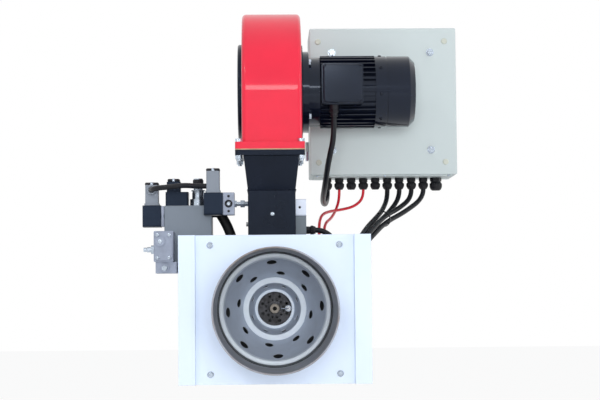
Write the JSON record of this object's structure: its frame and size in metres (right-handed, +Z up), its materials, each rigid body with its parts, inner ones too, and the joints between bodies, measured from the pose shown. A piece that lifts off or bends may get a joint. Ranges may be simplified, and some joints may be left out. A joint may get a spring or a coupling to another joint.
{
  "type": "industrial gas burner",
  "caption": "Gas burner with a blast tube and perforated head on a square plate, a top fan with motor, a gas valve train and a control cabinet.",
  "frame": {"origin": "on the blast tube's axis, level with the front faces of the plate's side strips", "axes": "-Y along the blast tube towards the flame, +X right seen from the flame side, +Z up"},
  "size_m": [0.625, 0.7333, 0.713],
  "materials": {
    "white_paint": "satin powder coat",
    "tube_steel": "heat-tinted stainless",
    "grey_paint": "satin paint",
    "glass": "clear",
    "zinc": "zinc plated",
    "head_steel": "satin stainless",
    "brass": "dull",
    "ceramic": "glazed ceramic",
    "black_paint": "satin black paint",
    "gasket": "fibre gasket",
    "red_paint": "gloss red enamel",
    "wheel_steel": "galvanised steel",
    "motor_black": "gloss black paint",
    "winding": "varnished windings",
    "black_plastic": "satin polyamide",
    "cabinet_paint": "textured light grey",
    "plug_plastic": "polythene",
    "galvanised": "galvanised",
    "device_grey": "moulded",
    "light_plastic": "moulded",
    "valve_paint": "satin grey-beige",
    "coil_plastic": "moulded",
    "plug_grey": "moulded",
    "cast_aluminium": "as cast",
    "cable_black": "PVC sheath",
    "cable_red": "silicone",
    "hose_rubber": "rubber"
  },
  "bodies": {
    "burner": {"actuator_cover": "light_plastic", "air_box": "grey_paint", "air_duct": "black_paint", "air_hose": "hose_rubber", "blast_tube": "tube_steel", "body_screws": "zinc", "brackets": "galvanised", "burner_control": "device_grey", "cabinet_body": "cabinet_paint", "cabinet_bolts": "zinc", "cabinet_plugs": "plug_plastic", "cable_glands": "black_plastic", "coil_plugs": "plug_grey", "control_leads": "cable_black", "damper_actuator": "device_grey", "door_hinges": "zinc", "electrode_wire": "zinc", "end_shields": "motor_black", "fan_cowl": "motor_black", "fan_housing": "red_paint", "front_plate": "white_paint", "gas_fittings": "zinc", "gas_lance": "brass", "gas_pipe": "galvanised", "gland_plate": "cabinet_paint", "head_cone": "head_steel", "head_cup": "head_steel", "ignition_electrode": "ceramic", "ignition_leads": "cable_red", "inlet_ring": "black_paint", "junction_box": "device_grey", "main_coil": "coil_plastic", "motor_bearings": "zinc", "motor_lead": "cable_black", "motor_plate": "black_paint", "mounting_plate": "galvanised", "outlet_bolts": "zinc", "outlet_gasket": "gasket", "pilot_valve": "cast_aluminium", "plate_bolts": "zinc", "pressure_switch": "cast_aluminium", "rear_cover": "grey_paint", "regulator": "zinc", "sight_glass": "glass", "stator_core": "winding", "stator_housing": "motor_black", "swirl_disc": "head_steel", "switch_cover": "cast_aluminium", "switchgear": "device_grey", "terminal_box": "motor_black", "terminal_lid": "motor_black", "transition": "black_paint", "valve_block": "valve_paint", "valve_coils": "coil_plastic"},
    "rotor": {"fan_wheel": "wheel_steel", "motor_rotor": "wheel_steel", "cooling_fan": "black_plastic"},
    "damper": {"damper": "galvanised"},
    "door": {"cabinet_door": "cabinet_paint"},
    "lock": {"door_lock": "zinc"}
  },
  "joints": [
    {"name": "fan_spin", "type": "hinge", "parent": "burner", "child": "rotor", "pos_m": [0.1, 0.2, 0.424], "axis": [1, 0, 0], "continuous": true},
    {"name": "damper_turn", "type": "hinge", "parent": "burner", "child": "damper", "pos_m": [-0.0045, 0.09, 0.16], "axis": [1, 0, 0], "range_deg": [0, 85]},
    {"name": "door_hinge", "type": "hinge", "parent": "burner", "child": "door", "pos_m": [0.0725, 0.466, 0.421], "axis": [0, 0, 1], "range_deg": [0, 120]},
    {"name": "lock_turn", "type": "hinge", "parent": "door", "child": "lock", "pos_m": [0.355, 0.48, 0.421], "axis": [0, -1, 0], "range_deg": [0, 90]}
  ]
}
